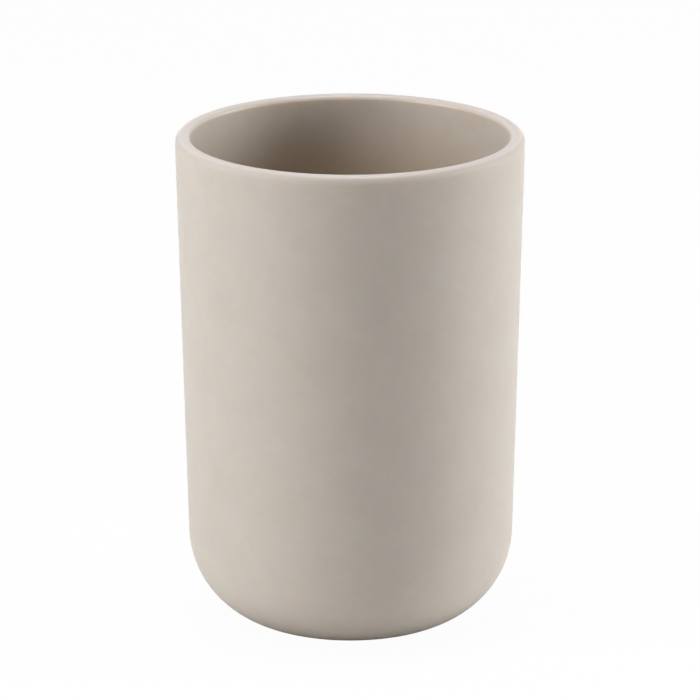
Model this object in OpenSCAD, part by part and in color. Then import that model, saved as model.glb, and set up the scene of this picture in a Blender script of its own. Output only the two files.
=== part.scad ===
// A bathroom tumbler: a moulded plastic cup that stands on a non-slip pad in a recess under its base.
// The origin is the centre of the pad's underside, where the tumbler meets the shelf, with +Z up.

/* [Cup] */
// Height of the cup, from the lip under its base to the top of its rim
cup_h = 108.4; // [95:0.1:125]
// Outside diameter at the rim, where the wall's line meets its top
rim_d = 75; // [70:0.5:85]
// Thickness of the wall
wall_t = 3.2; // [2.8:0.1:4]
// Thickness of the floor, over the lip
floor_t = 3.6; // [3:0.1:5]
// Radius of the rounded corner between the wall and the base, outside
corner_r = 20.6; // [16:0.1:22]
// Angle by which the wall leans out, so that the cup leaves its mould
wall_draft = 1.5; // [0.5:0.1:2.5]

/* [Rim] */
// Radius of the rim's outer edge
rim_outer_r = 1.4; // [0.8:0.1:1.6]
// Radius of the rim's inner edge
rim_inner_r = 0.7; // [0.3:0.1:1]
// Angle by which the land between the two edges falls towards the inside
land_fall = 9; // [0:1:12]

/* [Base] */
// Width of the lip around the pad's recess
lip_w = 1; // [0.6:0.1:2]
// Depth of the recess that holds the pad
recess_depth = 1.2; // [0.8:0.1:1.5]
// Diameter of the well that keeps the gate mark clear of the pad
well_d = 5; // [4:0.5:8]
// Depth of that well, over the recess
well_depth = 0.5; // [0.4:0.1:0.8]
// Diameter of the gate mark that the moulding leaves
gate_d = 1.6; // [1:0.1:2.5]
// Height of the gate mark
gate_h = 0.3; // [0.1:0.1:0.3]

/* [Foot pad] */
// Height by which the pad stands out below the lip
pad_proud = 0.6; // [0.4:0.1:1]
// Gap between the pad's edge and the wall of its recess
pad_gap = 0.3; // [0.2:0.05:0.6]
// Radius of the pad's lower edge
pad_edge_r = 0.4; // [0.2:0.1:0.6]
// Thickness of the adhesive film that holds the pad
film_t = 0.2; // [0.1:0.05:0.3]
// Distance by which the film stays back from the pad's edge
film_inset = 0.5; // [0.2:0.1:1]

/* [Hidden] */
$fn = 144;

// Every cut runs past the face that it opens by this much
overrun = 1;
// A slice's straight sides run out past its circle, as a share of the radius
slice_share = 1.5;
// An arc stands this much proud of the lines that it joins, and runs on past them by this angle, so that it
// crosses them at one clean point
arc_proud = 0.0005;
arc_past = 5;

greige = [0.74, 0.70, 0.65];
pad_grey = [0.33, 0.32, 0.31];
film_clear = [0.86, 0.85, 0.82];

// Heights, from the shelf up
lip_z = pad_proud;
recess_z = lip_z + recess_depth;
well_z = recess_z + well_depth;
floor_z = lip_z + floor_t;
rim_z = lip_z + cup_h;

// Outward and upward directions in the section, where x is the radius and y is the height
wall_out = direction(-wall_draft);
land_up = direction(90 + land_fall);

// The base corner: its arc meets the flat base at flat_r, and the wall at its own height
corner_z = lip_z + corner_r;
flat_r = wall_r(corner_z) - corner_r / cos(wall_draft);
corner_centre = [flat_r, corner_z];

// The same corner inside runs one wall thickness from the one outside
bowl_r = corner_r - wall_t;
bowl_z = floor_z + bowl_r;
bowl_flat_r = hollow_r(bowl_z) - bowl_r / cos(wall_draft);
bowl_centre = [bowl_flat_r, bowl_z];

// The rim's outer edge has its top at the cup's height
outer_edge_z = rim_z - rim_outer_r;
outer_edge_centre = [wall_r(outer_edge_z) - rim_outer_r / cos(wall_draft), outer_edge_z];

// The inner edge is tangent to the land and to the wall's inside
edge_step = rim_outer_r - rim_inner_r;
lean = wall_draft + land_fall;
land_w = (wall_t - rim_outer_r - rim_inner_r - edge_step * sin(lean)) / cos(lean);
inner_edge_centre = outer_edge_centre + edge_step * land_up + land_w * direction(180 + land_fall);
inner_edge_end = inner_edge_centre - rim_inner_r * wall_out;

// The pad and its film fill the recess and stand out of it by pad_proud
recess_r = flat_r - lip_w;
pad_r = recess_r - pad_gap;
film_z = recess_z - film_t;
film_r = pad_r - film_inset;

// Radius of the wall's outside at a height
function wall_r(z) = rim_d / 2 - (rim_z - z) * tan(wall_draft);

// Radius of its inside at a height
function hollow_r(z) = wall_r(z) - wall_t / cos(wall_draft);

// Unit vector in the section at an angle from straight outwards
function direction(angle) = [cos(angle), sin(angle)];

// The slice of a disc between two angles, which rounds a corner of the section
module slice(centre, r, from, to) {
    first = r * slice_share * direction(from - arc_past);
    last = r * slice_share * direction(to + arc_past);
    intersection() {
        translate(centre)
            circle(r = r + arc_proud);
        polygon([centre, centre + first, centre + first + last, centre + last]);
    }
}

// A rectangle of the section that reaches from the axis out to a radius
module disc_section(r, low, high) {
    translate([0, low])
        square([r, high - low]);
}

// The cup's outside, as a filled half section up to the rim
module outside_section() {
    polygon([
        [0, lip_z],
        [flat_r, lip_z],
        corner_centre + corner_r * wall_out,
        outer_edge_centre + rim_outer_r * wall_out,
        outer_edge_centre + rim_outer_r * land_up,
        inner_edge_centre + rim_inner_r * land_up,
        inner_edge_end,
        [0, inner_edge_end.y],
    ]);
    slice(corner_centre, corner_r, -90, -wall_draft);
    slice(outer_edge_centre, rim_outer_r, -wall_draft, 90 + land_fall);
    slice(inner_edge_centre, rim_inner_r, 90 + land_fall, 180 - wall_draft);
}

// The hollow inside the cup, open past its rim
module inside_section() {
    top_z = rim_z + overrun;
    polygon([
        [0, floor_z],
        [bowl_flat_r, floor_z],
        bowl_centre + bowl_r * wall_out,
        [hollow_r(top_z), top_z],
        [0, top_z],
    ]);
    slice(bowl_centre, bowl_r, -90, -wall_draft);
}

// The moulded cup, with the pad's recess and the gate's well in its base
module cup() {
    color(greige)
        rotate_extrude() {
            difference() {
                outside_section();
                inside_section();
                disc_section(recess_r, lip_z - overrun, recess_z);
                disc_section(well_d / 2, lip_z - overrun, well_z);
            }
            disc_section(gate_d / 2, well_z - gate_h, well_z);
        }
}

// The non-slip pad, with its lower edge rounded
module foot_pad() {
    color(pad_grey)
        rotate_extrude() {
            polygon([
                [0, 0],
                [pad_r - pad_edge_r, 0],
                [pad_r, pad_edge_r],
                [pad_r, film_z],
                [0, film_z],
            ]);
            slice([pad_r - pad_edge_r, pad_edge_r], pad_edge_r, -90, 0);
        }
}

// The double-sided film between the pad and the recess
module pad_adhesive() {
    color(film_clear)
        translate([0, 0, film_z])
            cylinder(r = film_r, h = film_t);
}

cup();
foot_pad();
pad_adhesive();
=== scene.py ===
# A plain bathroom tumbler: one moulded cup, the die-cut pad under it and the film that holds the pad.
# Metres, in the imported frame's own axes: Z is up, it stands on Z = 0, and the camera is on the -Y side.
import math

import bpy
from mathutils import Matrix, Vector


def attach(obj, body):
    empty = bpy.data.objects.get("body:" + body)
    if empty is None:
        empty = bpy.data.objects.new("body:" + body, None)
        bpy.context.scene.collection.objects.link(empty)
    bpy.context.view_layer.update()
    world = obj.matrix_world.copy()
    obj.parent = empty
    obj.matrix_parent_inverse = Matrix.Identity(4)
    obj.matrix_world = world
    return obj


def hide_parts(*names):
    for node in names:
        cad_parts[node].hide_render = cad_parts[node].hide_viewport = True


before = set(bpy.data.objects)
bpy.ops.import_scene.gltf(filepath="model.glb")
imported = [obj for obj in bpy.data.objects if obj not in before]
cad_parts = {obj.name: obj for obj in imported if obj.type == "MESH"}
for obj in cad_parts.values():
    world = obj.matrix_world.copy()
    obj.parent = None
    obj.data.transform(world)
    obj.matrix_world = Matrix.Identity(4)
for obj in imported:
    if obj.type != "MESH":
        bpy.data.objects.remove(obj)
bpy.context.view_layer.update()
mm = 0.001
print("frame loaded:", sorted(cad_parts))


def linearColour(hexCode):
    # sRGB hex, as a colour picker shows it, to the linear values that nodes take
    channels = [int(hexCode[i:i + 2], 16) / 255 for i in (1, 3, 5)]
    linear = [c / 12.92 if c <= 0.04045 else ((c + 0.055) / 1.055) ** 2.4 for c in channels]
    return linear + [1.0]


def addNode(tree, kind, settings=None, inputs=None):
    # one node with its settings; an input that is given a socket is linked, and any other is set
    node = tree.nodes.new(kind)
    for name, value in (settings or {}).items():
        setattr(node, name, value)
    for name, value in (inputs or {}).items():
        if isinstance(value, bpy.types.NodeSocket):
            tree.links.new(value, node.inputs[name])
        else:
            node.inputs[name].default_value = value
    return node


def newMaterial(name):
    material = bpy.data.materials.new(name)
    material.use_nodes = True
    material.node_tree.nodes.clear()
    return material


def millimetreCoordinates(tree):
    # Object coordinates in millimetres, so that a pattern's Scale is one over its size in mm
    place = addNode(tree, "ShaderNodeTexCoord").outputs["Object"]
    scaled = addNode(tree, "ShaderNodeVectorMath", {"operation": "SCALE"}, {0: place, "Scale": 1 / mm})
    return scaled.outputs[0]


# A turned piece is a half section, given corner by corner, that is rounded and then turned round Z
turning = {
    "segments": 256,        # steps round the axis
    "arcFineness": 8.0,     # steps in an arc of 1 mm, and four times as many in one of 16 mm
    "loopSpacing": 4.0,     # mm between loops on a straight stretch
    "pathRadius": 10.0,     # mm, of the circle that carries the section
    "mergeWithin": 0.0001,  # mm, so that the seam and both poles close
    "flatWeight": 100,      # flats outweigh the small facets of an arc beside them
}


def buildTurnedTree(name, corners):
    tree = bpy.data.node_groups.new(name, "GeometryNodeTree")
    sockets = tree.interface
    sockets.new_socket("Geometry", in_out="OUTPUT", socket_type="NodeSocketGeometry")
    for cornerName, radius, height, rounding in corners:
        sockets.new_socket(cornerName, in_out="INPUT", socket_type="NodeSocketVector")
        sockets.new_socket(cornerName + " rounding", in_out="INPUT", socket_type="NodeSocketFloat")
    sockets.new_socket("Segments", in_out="INPUT", socket_type="NodeSocketInt")
    sockets.new_socket("Arc fineness", in_out="INPUT", socket_type="NodeSocketFloat")
    sockets.new_socket("Loop spacing", in_out="INPUT", socket_type="NodeSocketFloat")
    sockets.new_socket("Path radius", in_out="INPUT", socket_type="NodeSocketFloat")
    sockets.new_socket("Material", in_out="INPUT", socket_type="NodeSocketMaterial")
    given = addNode(tree, "NodeGroupInput").outputs
    index = addNode(tree, "GeometryNodeInputIndex").outputs[0]

    # the corner and its rounding, picked by the point's number along the section
    corner = addNode(tree, "GeometryNodeIndexSwitch", {"data_type": "VECTOR"}, {"Index": index})
    rounding = addNode(tree, "GeometryNodeIndexSwitch", {"data_type": "FLOAT"}, {"Index": index})
    for switch in (corner, rounding):
        while len(switch.index_switch_items) < len(corners):
            switch.index_switch_items.new()
    for number, row in enumerate(corners):
        tree.links.new(given[row[0]], corner.inputs[1 + number])
        tree.links.new(given[row[0] + " rounding"], rounding.inputs[1 + number])

    # the section lies across a circle of the path's radius, with its height turned over
    split = addNode(tree, "ShaderNodeSeparateXYZ", None, {0: corner.outputs[0]})
    across = addNode(tree, "ShaderNodeMath", {"operation": "SUBTRACT"}, {
        0: split.outputs["X"], 1: given["Path radius"]})
    down = addNode(tree, "ShaderNodeMath", {"operation": "MULTIPLY"}, {0: split.outputs["Z"], 1: -1.0})
    flat = addNode(tree, "ShaderNodeCombineXYZ", None, {"X": across.outputs[0], "Y": down.outputs[0]})
    line = addNode(tree, "GeometryNodeMeshLine", {"mode": "OFFSET", "count_mode": "TOTAL"}, {
        "Count": len(corners)})
    placed = addNode(tree, "GeometryNodeSetPosition", None, {
        "Geometry": line.outputs[0], "Position": flat.outputs[0]})
    section = addNode(tree, "GeometryNodeMeshToCurve", None, {"Mesh": placed.outputs[0]})

    # arcs: steps grow with the square root of the radius, so every arc is equally smooth
    inMillimetres = addNode(tree, "ShaderNodeMath", {"operation": "DIVIDE"}, {
        0: rounding.outputs[0], 1: mm})
    root = addNode(tree, "ShaderNodeMath", {"operation": "SQRT"}, {0: inMillimetres.outputs[0]})
    steps = addNode(tree, "ShaderNodeMath", {"operation": "MULTIPLY"}, {
        0: root.outputs[0], 1: given["Arc fineness"]})
    wholeSteps = addNode(tree, "ShaderNodeMath", {"operation": "CEIL"}, {0: steps.outputs[0]})
    rounded = addNode(tree, "GeometryNodeFilletCurve", {"mode": "POLY"}, {
        "Curve": section.outputs[0], "Count": wholeSteps.outputs[0], "Radius": rounding.outputs[0]})

    # straight stretches get loops too, so that shading stays even right up to an arc
    here = addNode(tree, "GeometryNodeInputPosition").outputs[0]
    nextIndex = addNode(tree, "ShaderNodeMath", {"operation": "ADD"}, {0: index, 1: 1.0})
    pointKind = {"data_type": "FLOAT_VECTOR", "domain": "POINT"}
    ahead = addNode(tree, "GeometryNodeFieldAtIndex", pointKind, {
        "Index": nextIndex.outputs[0], "Value": here})
    length = addNode(tree, "ShaderNodeVectorMath", {"operation": "DISTANCE"}, {
        0: here, 1: ahead.outputs[0]})
    share = addNode(tree, "ShaderNodeMath", {"operation": "DIVIDE"}, {
        0: length.outputs["Value"], 1: given["Loop spacing"]})
    cuts = addNode(tree, "ShaderNodeMath", {"operation": "FLOOR"}, {0: share.outputs[0]})
    looped = addNode(tree, "GeometryNodeSubdivideCurve", None, {
        "Curve": rounded.outputs[0], "Cuts": cuts.outputs[0]})

    # turned round Z, with the seam and both poles closed
    path = addNode(tree, "GeometryNodeCurvePrimitiveCircle", {"mode": "RADIUS"}, {
        "Resolution": given["Segments"], "Radius": given["Path radius"]})
    turned = addNode(tree, "GeometryNodeCurveToMesh", None, {
        "Curve": path.outputs[0], "Profile Curve": looped.outputs[0]})
    merged = addNode(tree, "GeometryNodeMergeByDistance", None, {
        "Geometry": turned.outputs[0], "Distance": turning["mergeWithin"] * mm})
    smooth = addNode(tree, "GeometryNodeSetShadeSmooth", None, {"Geometry": merged.outputs[0]})
    real = addNode(tree, "GeometryNodeRealizeInstances", None, {"Geometry": smooth.outputs[0]})
    dressed = addNode(tree, "GeometryNodeSetMaterial", None, {
        "Geometry": real.outputs[0], "Material": given["Material"]})
    addNode(tree, "NodeGroupOutput", None, {"Geometry": dressed.outputs[0]})
    return tree


def turnPiece(name, corners, material):
    tree = buildTurnedTree(name + "Turned", corners)
    values = {
        "Segments": turning["segments"],
        "Arc fineness": turning["arcFineness"],
        "Loop spacing": turning["loopSpacing"] * mm,
        "Path radius": turning["pathRadius"] * mm,
        "Material": material,
    }
    for cornerName, radius, height, rounding in corners:
        values[cornerName] = (radius * mm, 0.0, height * mm)
        values[cornerName + " rounding"] = rounding * mm
    piece = bpy.data.objects.new(name, bpy.data.meshes.new(name))
    bpy.context.scene.collection.objects.link(piece)
    turned = piece.modifiers.new("turned", "NODES")
    turned.node_group = tree
    for item in tree.interface.items_tree:
        if item.item_type == "SOCKET" and item.in_out == "INPUT":
            turned[item.identifier] = values[item.name]
    even = piece.modifiers.new("evenShading", "WEIGHTED_NORMAL")
    even.weight = turning["flatWeight"]

    # the result becomes a plain mesh, and the modifiers go
    evaluated = piece.evaluated_get(bpy.context.evaluated_depsgraph_get())
    mesh = bpy.data.meshes.new_from_object(evaluated)
    mesh.name = name
    piece.modifiers.clear()
    piece.data = mesh
    print("turned", name, "with", len(mesh.polygons), "faces")
    return piece


# The cup, from the lip under its base to its rim
cup = {
    "height": 108.4,          # mm, from its own lip to the top of the rim
    "rimDiameter": 75.0,
    "wall": 3.2,
    "floor": 3.6,
    "draft": 1.5,             # degrees that the wall leans out
    "cornerRounding": 20.6,   # outside corner between the wall and the base
    "rimOutside": 1.7,        # roundings of the rim's two edges
    "rimInside": 1.0,
    "landFall": 14.0,         # degrees that the rim's land falls to the inside
    "lipWidth": 1.0,
    "lipHeight": 0.6,         # the pad lifts the lip this far off the shelf
    "recessDepth": 1.2,
    "wellDiameter": 5.0,
    "wellDepth": 0.5,
    "gateDiameter": 1.6,
    "gateHeight": 0.3,
    "edgeBreak": 0.12,        # the small rounding that every machined mould edge leaves
    "light": "#C6BEB4",       # the two tones that the pigment swings between
    "dark": "#C2BAB0",
    "cloudSize": 9.0,         # mm, of the pigment's clouds, and of the specks in them
    "speckSize": 2.5,
    "pigmentRange": (0.36, 0.64),   # the noise's middle values, which spread over both tones
    "roughness": 0.60,
    "roughnessSwing": 0.04,   # either way, with the specks
    "insideShadeTone": "#C6B7A1",    # painted shade: the inside drawn deeper and warmer, as light going from wall to wall makes it
    "coreRoughness": 0.42,    # the inside, moulded on a polished core, is smoother
    "coreFacing": (-3.0, -15.0),    # mm of radius, below zero for a face that looks at the axis
    "insideShadeHeight": (106.0, 85.0),    # mm over the shelf between which that painted shade sets in
    "lipTone": "#D2C8BD",     # the standing edge is scuffed paler, in patches
    "scuffSize": 1.5,         # mm
    "scuffHeight": (0.62, 0.95),    # mm over the shelf between which the scuffs fade
    "roundingShadeTone": "#BCB5AE",    # painted shade: the rim's outer rounding a shade deeper, where the lamps' sheen falls on it
    "roundingShadeFacing": (0.02, 0.30),     # how far up that rounding faces where its tone sets in
    "rimTone": "#CDC6C3",     # painted sheen: the rim's top paler, where it catches light at a grazing angle
    "rimRoughness": 0.32,     # and smoother
    "upFacing": (0.60, 0.93),   # how far up a face must look for the rim's painted sheen and rubbing, and the inside floor's painted shade
    "nearRimHeight": (104.0, 106.0),     # mm over the shelf between which the rim's painted sheen, its painted shade and its rubbing set in
    "ior": 1.50,
    "scatter": 1.0,           # share of light that scatters under the skin
    "scatterDepth": 3.8,      # mm
    "scatterReach": (1.0, 0.7, 0.45),   # red goes deepest, so thin edges glow warm
    "pitSize": 0.4,           # mm; real pits are about 0.05, which the render can't show
    "grainDepth": 0.006,      # mm
    "rippleSize": 14.0,       # mm; the wall is never quite true from the way it cools
    "rippleDepth": 0.02,      # mm
}


def cupCorners(size):
    draft = math.radians(size["draft"])
    fall = math.radians(size["landFall"])
    lipZ = size["lipHeight"]
    rimZ = lipZ + size["height"]
    recessZ = lipZ + size["recessDepth"]
    wellZ = recessZ + size["wellDepth"]
    floorZ = lipZ + size["floor"]

    def outside(z):
        return size["rimDiameter"] / 2 - (rimZ - z) * math.tan(draft)

    def inside(z):
        return outside(z) - size["wall"] / math.cos(draft)

    # the land's line meets each wall's line at the sharp corner that its rounding then takes off
    edge = size["rimOutside"]
    centreZ = rimZ - edge
    centreR = outside(centreZ) - edge / math.cos(draft)

    def rimCorner(offset):
        spread = math.cos(draft + fall)
        return (centreR + (offset * math.cos(fall) + edge * math.sin(draft)) / spread,
                centreZ + (edge * math.cos(draft) + offset * math.sin(fall)) / spread)

    flatR = outside(lipZ + size["cornerRounding"]) - size["cornerRounding"] / math.cos(draft)
    recessR = flatR - size["lipWidth"]
    soft = size["edgeBreak"]
    return [
        ("Floor centre", 0.0, floorZ, 0.0),
        ("Bowl corner", inside(floorZ), floorZ, size["cornerRounding"] - size["wall"]),
        ("Rim inside", *rimCorner(edge - size["wall"]), size["rimInside"]),
        ("Rim outside", *rimCorner(edge), size["rimOutside"]),
        ("Base corner", outside(lipZ), lipZ, size["cornerRounding"]),
        ("Lip edge", recessR, lipZ, soft),
        ("Recess corner", recessR, recessZ, soft),
        ("Well edge", size["wellDiameter"] / 2, recessZ, soft),
        ("Well corner", size["wellDiameter"] / 2, wellZ, soft),
        ("Gate root", size["gateDiameter"] / 2, wellZ, soft),
        ("Gate edge", size["gateDiameter"] / 2, wellZ - size["gateHeight"], soft),
        ("Gate centre", 0.0, wellZ - size["gateHeight"], 0.0),
    ]


def makeCupMaterial(look):
    # Injection-moulded polypropylene from a spark-eroded mould: an even matte with a broad soft sheen,
    # no clear reflections, faint clouds in the pigment and edges that glow a little where they are thin.
    material = newMaterial("mouldedPolypropylene")
    tree = material.node_tree
    place = millimetreCoordinates(tree)
    height = addNode(tree, "ShaderNodeSeparateXYZ", None, {0: place}).outputs["Z"]

    # pigment, in clouds and specks
    clouds = addNode(tree, "ShaderNodeTexNoise", None, {
        "Vector": place, "Scale": 1 / look["cloudSize"], "Detail": 2.0})
    specks = addNode(tree, "ShaderNodeTexNoise", None, {
        "Vector": place, "Scale": 1 / look["speckSize"], "Detail": 3.0})
    swing = addNode(tree, "ShaderNodeMix", {"data_type": "FLOAT"}, {
        "Factor": 0.5, "A": clouds.outputs["Fac"], "B": specks.outputs["Fac"]})
    spread = addNode(tree, "ShaderNodeMapRange", None, {
        "Value": swing.outputs["Result"],
        "From Min": look["pigmentRange"][0], "From Max": look["pigmentRange"][1]})
    body = addNode(tree, "ShaderNodeMix", {"data_type": "RGBA"}, {
        "Factor": spread.outputs[0], "A": linearColour(look["dark"]), "B": linearColour(look["light"])})

    # painted shade on the core's side: walls that look at the axis, and the floor, drawn darker and
    # warmer ever more so below the rim
    facing = addNode(tree, "ShaderNodeTexCoord").outputs["Normal"]
    level = addNode(tree, "ShaderNodeVectorMath", {"operation": "MULTIPLY"}, {
        0: place, 1: (1.0, 1.0, 0.0)})
    outwards = addNode(tree, "ShaderNodeVectorMath", {"operation": "DOT_PRODUCT"}, {
        0: level.outputs[0], 1: facing})
    inwards = addNode(tree, "ShaderNodeMapRange", {"interpolation_type": "SMOOTHSTEP"}, {
        "Value": outwards.outputs["Value"],
        "From Min": look["coreFacing"][0], "From Max": look["coreFacing"][1]})
    upwards = addNode(tree, "ShaderNodeSeparateXYZ", None, {0: facing}).outputs["Z"]
    facesUp = addNode(tree, "ShaderNodeMapRange", {"interpolation_type": "SMOOTHSTEP"}, {
        "Value": upwards,
        "From Min": look["upFacing"][0], "From Max": look["upFacing"][1]})
    inside = addNode(tree, "ShaderNodeMath", {"operation": "ADD", "use_clamp": True}, {
        0: inwards.outputs[0], 1: facesUp.outputs[0]})
    deep = addNode(tree, "ShaderNodeMapRange", {"interpolation_type": "SMOOTHSTEP"}, {
        "Value": height, "From Min": look["insideShadeHeight"][0], "From Max": look["insideShadeHeight"][1]})
    insideShade = addNode(tree, "ShaderNodeMath", {"operation": "MULTIPLY"}, {
        0: inside.outputs[0], 1: deep.outputs[0]})
    skin = addNode(tree, "ShaderNodeMix", {"data_type": "RGBA"}, {
        "Factor": insideShade.outputs[0],
        "A": body.outputs["Result"], "B": linearColour(look["insideShadeTone"])})

    # the lip that meets the shelf is scuffed
    scuffs = addNode(tree, "ShaderNodeTexNoise", None, {
        "Vector": place, "Scale": 1 / look["scuffSize"], "Detail": 4.0})
    nearShelf = addNode(tree, "ShaderNodeMapRange", {"interpolation_type": "SMOOTHSTEP"}, {
        "Value": height, "From Min": look["scuffHeight"][0], "From Max": look["scuffHeight"][1],
        "To Min": 1.0, "To Max": 0.0})
    scuffed = addNode(tree, "ShaderNodeMath", {"operation": "MULTIPLY"}, {
        0: scuffs.outputs["Fac"], 1: nearShelf.outputs[0]})
    lipped = addNode(tree, "ShaderNodeMix", {"data_type": "RGBA"}, {
        "Factor": scuffed.outputs[0], "A": skin.outputs["Result"], "B": linearColour(look["lipTone"])})

    # painted shade on the rim's outer rounding: a shade deeper where the lamps' sheen falls
    nearRim = addNode(tree, "ShaderNodeMapRange", None, {
        "Value": height, "From Min": look["nearRimHeight"][0], "From Max": look["nearRimHeight"][1]})
    rounding = addNode(tree, "ShaderNodeMapRange", {"interpolation_type": "SMOOTHSTEP"}, {
        "Value": upwards, "From Min": look["roundingShadeFacing"][0], "From Max": look["roundingShadeFacing"][1]})
    outerRim = addNode(tree, "ShaderNodeMath", {"operation": "SUBTRACT"}, {
        0: nearRim.outputs[0], 1: inwards.outputs[0]})
    roundingShade = addNode(tree, "ShaderNodeMath", {"operation": "MULTIPLY", "use_clamp": True}, {
        0: rounding.outputs[0], 1: outerRim.outputs[0]})
    roundingShaded = addNode(tree, "ShaderNodeMix", {"data_type": "RGBA"}, {
        "Factor": roundingShade.outputs[0],
        "A": lipped.outputs["Result"], "B": linearColour(look["roundingShadeTone"])})

    # painted sheen: the rim is paler where it faces up, and less so on its two rounded edges; the same
    # mask makes it smoother, as rubbed
    sheenAndRubbed = addNode(tree, "ShaderNodeMath", {"operation": "MULTIPLY"}, {
        0: facesUp.outputs[0], 1: nearRim.outputs[0]})
    colour = addNode(tree, "ShaderNodeMix", {"data_type": "RGBA"}, {
        "Factor": sheenAndRubbed.outputs[0], "A": roundingShaded.outputs["Result"], "B": linearColour(look["rimTone"])})

    # roughness drops on the core's side and where the rim is rubbed, and follows the specks a little
    sides = addNode(tree, "ShaderNodeMapRange", None, {
        "Value": inwards.outputs[0], "To Min": look["roughness"], "To Max": look["coreRoughness"]})
    mostly = addNode(tree, "ShaderNodeMapRange", None, {
        "Value": sheenAndRubbed.outputs[0], "To Min": sides.outputs[0], "To Max": look["rimRoughness"]})
    uneven = addNode(tree, "ShaderNodeMapRange", None, {
        "Value": specks.outputs["Fac"],
        "To Min": -look["roughnessSwing"], "To Max": look["roughnessSwing"]})
    roughness = addNode(tree, "ShaderNodeMath", {"operation": "ADD"}, {
        0: mostly.outputs[0], 1: uneven.outputs[0]})

    # the spark-eroded grain, drawn coarser than the real one, and the ripples under it
    pits = addNode(tree, "ShaderNodeTexVoronoi", {"feature": "SMOOTH_F1"}, {
        "Vector": place, "Scale": 1 / look["pitSize"]})
    grain = addNode(tree, "ShaderNodeBump", None, {
        "Strength": 1.0, "Distance": look["grainDepth"] * mm, "Height": pits.outputs["Distance"]})
    ripples = addNode(tree, "ShaderNodeTexNoise", None, {
        "Vector": place, "Scale": 1 / look["rippleSize"], "Detail": 1.0})
    wavy = addNode(tree, "ShaderNodeBump", None, {
        "Strength": 1.0, "Distance": look["rippleDepth"] * mm, "Height": ripples.outputs["Fac"],
        "Normal": grain.outputs[0]})
    shader = addNode(tree, "ShaderNodeBsdfPrincipled", None, {
        "Base Color": colour.outputs["Result"], "Roughness": roughness.outputs[0],
        "IOR": look["ior"], "Normal": wavy.outputs[0],
        "Subsurface Weight": look["scatter"], "Subsurface Scale": look["scatterDepth"] * mm,
        "Subsurface Radius": look["scatterReach"]})
    addNode(tree, "ShaderNodeOutputMaterial", None, {"Surface": shader.outputs[0]})
    return material


cupPiece = turnPiece("mouldedCup", cupCorners(cup), makeCupMaterial(cup))
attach(cupPiece, "root")
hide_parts("cup")


# The pad that it stands on
pad = {
    "radius": 13.289,         # mm
    "top": 1.6,               # where the film begins
    "edgeRounding": 0.4,
    "topBreak": 0.1,          # the die leaves the upper edge nearly sharp
    "tone": "#5B5856",
    "dustTone": "#6E6A66",
    "dustSize": 3.0,          # mm, of the patches that dust gathers in
    "cellSize": 0.5,          # mm; real cells are 0.1 to 0.3, drawn larger so that they show
    "roughness": 0.78,
    "roughnessSwing": 0.06,
    "ior": 1.52,
    "skinStrength": 0.8,
    "skinDepth": 0.03,        # mm
}


def padCorners(size):
    return [
        ("Top centre", 0.0, size["top"], 0.0),
        ("Top edge", size["radius"], size["top"], size["topBreak"]),
        ("Lower edge", size["radius"], 0.0, size["edgeRounding"]),
        ("Lower centre", 0.0, 0.0, 0.0),
    ]


def makePadMaterial(look):
    # Die-cut closed-cell rubber sheet: a dead matte skin, dimpled like fine leather by the cells
    # under it, with a little pale dust held in the dimples.
    material = newMaterial("dieCutCellRubber")
    tree = material.node_tree
    place = millimetreCoordinates(tree)
    cells = addNode(tree, "ShaderNodeTexVoronoi", {"feature": "F1"}, {
        "Vector": place, "Scale": 1 / look["cellSize"]})
    dust = addNode(tree, "ShaderNodeTexNoise", None, {
        "Vector": place, "Scale": 1 / look["dustSize"], "Detail": 4.0})
    held = addNode(tree, "ShaderNodeMath", {"operation": "MULTIPLY"}, {
        0: dust.outputs["Fac"], 1: cells.outputs["Distance"]})
    colour = addNode(tree, "ShaderNodeMix", {"data_type": "RGBA"}, {
        "Factor": held.outputs[0],
        "A": linearColour(look["tone"]), "B": linearColour(look["dustTone"])})
    uneven = addNode(tree, "ShaderNodeMapRange", None, {
        "Value": dust.outputs["Fac"],
        "To Min": look["roughness"] - look["roughnessSwing"],
        "To Max": look["roughness"] + look["roughnessSwing"]})
    skin = addNode(tree, "ShaderNodeBump", {"invert": True}, {
        "Strength": look["skinStrength"], "Distance": look["skinDepth"] * mm,
        "Height": cells.outputs["Distance"]})
    shader = addNode(tree, "ShaderNodeBsdfPrincipled", None, {
        "Base Color": colour.outputs["Result"], "Roughness": uneven.outputs[0],
        "IOR": look["ior"], "Normal": skin.outputs[0]})
    addNode(tree, "ShaderNodeOutputMaterial", None, {"Surface": shader.outputs[0]})
    return material


padPiece = turnPiece("footPad", padCorners(pad), makePadMaterial(pad))
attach(padPiece, "root")
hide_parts("foot_pad")


# The film that holds the pad: its CAD solid is right, and only gets its finish
film = {
    "tone": "#DAD7CE",
    "thinTone": "#E2DFD8",
    "patchSize": 2.5,         # mm, of the patches where the glue has wetted out unevenly
    "roughness": 0.22,
    "roughnessSwing": 0.04,
    "ior": 1.47,
    "dimpleStrength": 0.6,
    "dimpleDepth": 0.01,      # mm
}


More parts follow.
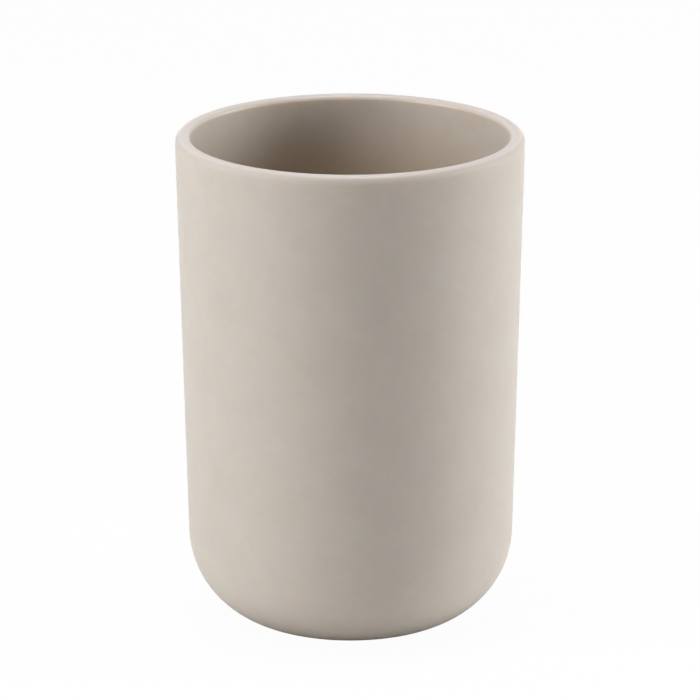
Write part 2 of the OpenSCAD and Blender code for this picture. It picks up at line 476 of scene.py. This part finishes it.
def makeFilmMaterial(look):
    # Double-sided acrylic adhesive film: pale and glossy, slightly clouded where it has wetted out
    # unevenly.
    material = newMaterial("acrylicAdhesiveFilm")
    tree = material.node_tree
    place = millimetreCoordinates(tree)
    wetted = addNode(tree, "ShaderNodeTexNoise", None, {
        "Vector": place, "Scale": 1 / look["patchSize"], "Detail": 3.0})
    colour = addNode(tree, "ShaderNodeMix", {"data_type": "RGBA"}, {
        "Factor": wetted.outputs["Fac"],
        "A": linearColour(look["tone"]), "B": linearColour(look["thinTone"])})
    rough = addNode(tree, "ShaderNodeMapRange", None, {
        "Value": wetted.outputs["Fac"],
        "To Min": look["roughness"] - look["roughnessSwing"],
        "To Max": look["roughness"] + look["roughnessSwing"]})
    dimples = addNode(tree, "ShaderNodeBump", None, {
        "Strength": look["dimpleStrength"], "Distance": look["dimpleDepth"] * mm,
        "Height": wetted.outputs["Fac"]})
    shader = addNode(tree, "ShaderNodeBsdfPrincipled", None, {
        "Base Color": colour.outputs["Result"], "Roughness": rough.outputs[0],
        "IOR": look["ior"], "Normal": dimples.outputs[0]})
    addNode(tree, "ShaderNodeOutputMaterial", None, {"Surface": shader.outputs[0]})
    return material


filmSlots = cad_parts["pad_adhesive"].material_slots
filmMaterial = makeFilmMaterial(film)
for filmSlot in filmSlots:
    filmSlot.material = filmMaterial
print("film dressed")


# Floor and surroundings: white to the eye, and lit like any studio floor for everything else
studio = {
    "floorRadius": 3.0,       # metres
    "floorSides": 96,
    "floorDrop": 0.00002,     # the floor lies just under the pad, so that the two faces never coincide
    "floorTone": "#EEEEEE",
    "cameraWhite": 0.97,      # share of white that the camera sees; the rest is lit and keeps the shadow
    "gapInner": 0.0135,       # radii, in metres, between which the gap under the edge turns white
    "gapOuter": 0.0152,
    "shadowInner": 0.020,     # within this radius reflections see the lit floor, shadow and all
    "shadowOuter": 0.070,     # beyond this one they see white
    "contactTone": "#8A7D70",
    "contactInner": 0.016,    # the floor lightens from its contact tone between these radii
    "contactOuter": 0.043,
}


def seenDirectly(tree):
    # 1 for camera, glossy and transmission rays, 0 for the rays that carry light between surfaces
    path = addNode(tree, "ShaderNodeLightPath").outputs
    first = addNode(tree, "ShaderNodeMath", {"operation": "MAXIMUM"}, {
        0: path["Is Camera Ray"], 1: path["Is Glossy Ray"]})
    both = addNode(tree, "ShaderNodeMath", {"operation": "MAXIMUM"}, {
        0: first.outputs[0], 1: path["Is Transmission Ray"]})
    return both.outputs[0]


def makeFloorMaterial(look):
    material = newMaterial("whiteStudioFloor")
    tree = material.node_tree
    place = addNode(tree, "ShaderNodeTexCoord").outputs["Object"]
    fromFoot = addNode(tree, "ShaderNodeVectorMath", {"operation": "LENGTH"}, {0: place})
    distance = fromFoot.outputs["Value"]
    path = addNode(tree, "ShaderNodeLightPath").outputs

    # the camera sees white, but for the dark gap right under the cup's edge
    gap = addNode(tree, "ShaderNodeMapRange", {"interpolation_type": "SMOOTHSTEP"}, {
        "Value": distance, "From Min": look["gapInner"], "From Max": look["gapOuter"],
        "To Max": look["cameraWhite"]})
    # a reflection sees the lit floor near the cup, and white further out
    clear = addNode(tree, "ShaderNodeMapRange", {"interpolation_type": "SMOOTHSTEP"}, {
        "Value": distance, "From Min": look["shadowInner"], "From Max": look["shadowOuter"]})
    byGloss = addNode(tree, "ShaderNodeMath", {"operation": "MULTIPLY"}, {
        0: seenDirectly(tree), 1: clear.outputs[0]})
    whiteShare = addNode(tree, "ShaderNodeMix", {"data_type": "FLOAT"}, {
        "Factor": path["Is Camera Ray"], "A": byGloss.outputs[0], "B": gap.outputs[0]})

    # the lamps of a real studio are wider than these, and leave the floor dark close to the foot
    away = addNode(tree, "ShaderNodeMapRange", {"interpolation_type": "SMOOTHSTEP"}, {
        "Value": distance, "From Min": look["contactInner"], "From Max": look["contactOuter"]})
    tone = addNode(tree, "ShaderNodeMix", {"data_type": "RGBA"}, {
        "Factor": away.outputs[0],
        "A": linearColour(look["contactTone"]), "B": linearColour(look["floorTone"])})
    lit = addNode(tree, "ShaderNodeBsdfDiffuse", None, {"Color": tone.outputs["Result"]})
    white = addNode(tree, "ShaderNodeEmission", None, {"Strength": 1.0})
    top = addNode(tree, "ShaderNodeMixShader", None, {
        0: whiteShare.outputs["Result"], 1: lit.outputs[0], 2: white.outputs[0]})

    # from below the floor is clear, and stays so for a ray that has come through it, so that the
    # underside can be looked at in the light of the lamp under the floor
    behind = addNode(tree, "ShaderNodeNewGeometry").outputs["Backfacing"]
    fromBelow = addNode(tree, "ShaderNodeMath", {"operation": "ADD", "use_clamp": True}, {
        0: behind, 1: path["Transparent Depth"]})
    clearGlass = addNode(tree, "ShaderNodeBsdfTransparent")
    both = addNode(tree, "ShaderNodeMixShader", None, {
        0: fromBelow.outputs[0], 1: top.outputs[0], 2: clearGlass.outputs[0]})
    addNode(tree, "ShaderNodeOutputMaterial", None, {"Surface": both.outputs[0]})
    return material


def makeFloor(look):
    ring = []
    for step in range(look["floorSides"]):
        turn = 2 * math.pi * step / look["floorSides"]
        ring.append((look["floorRadius"] * math.cos(turn), look["floorRadius"] * math.sin(turn),
                     -look["floorDrop"]))
    mesh = bpy.data.meshes.new("studioFloor")
    mesh.from_pydata(ring, [], [list(range(look["floorSides"]))])
    mesh.materials.append(makeFloorMaterial(look))
    floor = bpy.data.objects.new("studioFloor", mesh)
    bpy.context.scene.collection.objects.link(floor)


def makeSurroundings():
    # white to the eye and in reflections; the lamps alone light the matte surfaces
    world = bpy.data.worlds.new("studioSurroundings")
    world.use_nodes = True
    tree = world.node_tree
    tree.nodes.clear()
    white = addNode(tree, "ShaderNodeBackground", None, {
        "Color": (1.0, 1.0, 1.0, 1.0), "Strength": seenDirectly(tree)})
    addNode(tree, "ShaderNodeOutputWorld", None, {"Surface": white.outputs[0]})
    bpy.context.scene.world = world


makeFloor(studio)
makeSurroundings()


# Soft boxes; azimuth runs from the camera's side to the right, in degrees, sizes are in metres and
# power is in watts
lamps = {
    "leftBox": {"azimuth": -66, "elevation": 24, "distance": 1.2,
                "width": 0.5, "height": 0.85, "power": 12.1},
    "rightBox": {"azimuth": 92, "elevation": 14, "distance": 1.2,
                 "width": 0.5, "height": 0.5, "power": 11.4},
    "topBox": {"azimuth": 0, "elevation": 88, "distance": 1.2,
               "width": 0.6, "height": 0.6, "power": 7.2},
    # this one lights the underside alone: the floor hides it from every view above
    "underBox": {"azimuth": -20, "elevation": -62, "distance": 1.2,
                 "width": 0.8, "height": 0.8, "power": 9.0},
}
lampAim = (0.0, 0.0, 0.055)


def addLamp(name, size):
    azimuth = math.radians(size["azimuth"])
    elevation = math.radians(size["elevation"])
    back = Vector((math.sin(azimuth) * math.cos(elevation), -math.cos(azimuth) * math.cos(elevation),
                   math.sin(elevation)))
    data = bpy.data.lights.new(name, "AREA")
    data.shape = "RECTANGLE"
    data.size = size["width"]
    data.size_y = size["height"]
    data.energy = size["power"]
    lamp = bpy.data.objects.new(name, data)
    lamp.location = Vector(lampAim) + back * size["distance"]
    lamp.rotation_euler = back.to_track_quat("Z", "Y").to_euler()
    bpy.context.scene.collection.objects.link(lamp)


for lampName, lampSize in lamps.items():
    addLamp(lampName, lampSize)


# The camera, at the photograph's angle
view = {
    "sensor": 36.0,           # mm
    "lens": 306.3,            # mm
    "distance": 1.2872,       # metres from the point that it looks at
    "elevation": 16.16,       # degrees
    "aim": (-0.00009, 0.0, 0.06073),
    "roll": -0.10,            # degrees; the picture's right end is slightly high
    "sees": 20.0,             # metres
}


def addCamera(shot):
    elevation = math.radians(shot["elevation"])
    back = Vector((0.0, -math.cos(elevation), math.sin(elevation)))
    data = bpy.data.cameras.new("camera")
    data.sensor_width = shot["sensor"]
    data.lens = shot["lens"]
    data.clip_end = shot["sees"]
    camera = bpy.data.objects.new("camera", data)
    camera.rotation_mode = "QUATERNION"
    roll = Matrix.Rotation(math.radians(shot["roll"]), 4, "Z").to_quaternion()
    camera.rotation_quaternion = back.to_track_quat("Z", "Y") @ roll
    camera.location = Vector(shot["aim"]) + back * shot["distance"]
    bpy.context.scene.collection.objects.link(camera)
    bpy.context.scene.camera = camera


addCamera(view)
bpy.context.scene.view_settings.view_transform = "Standard"
print("stage, lamps and camera set")
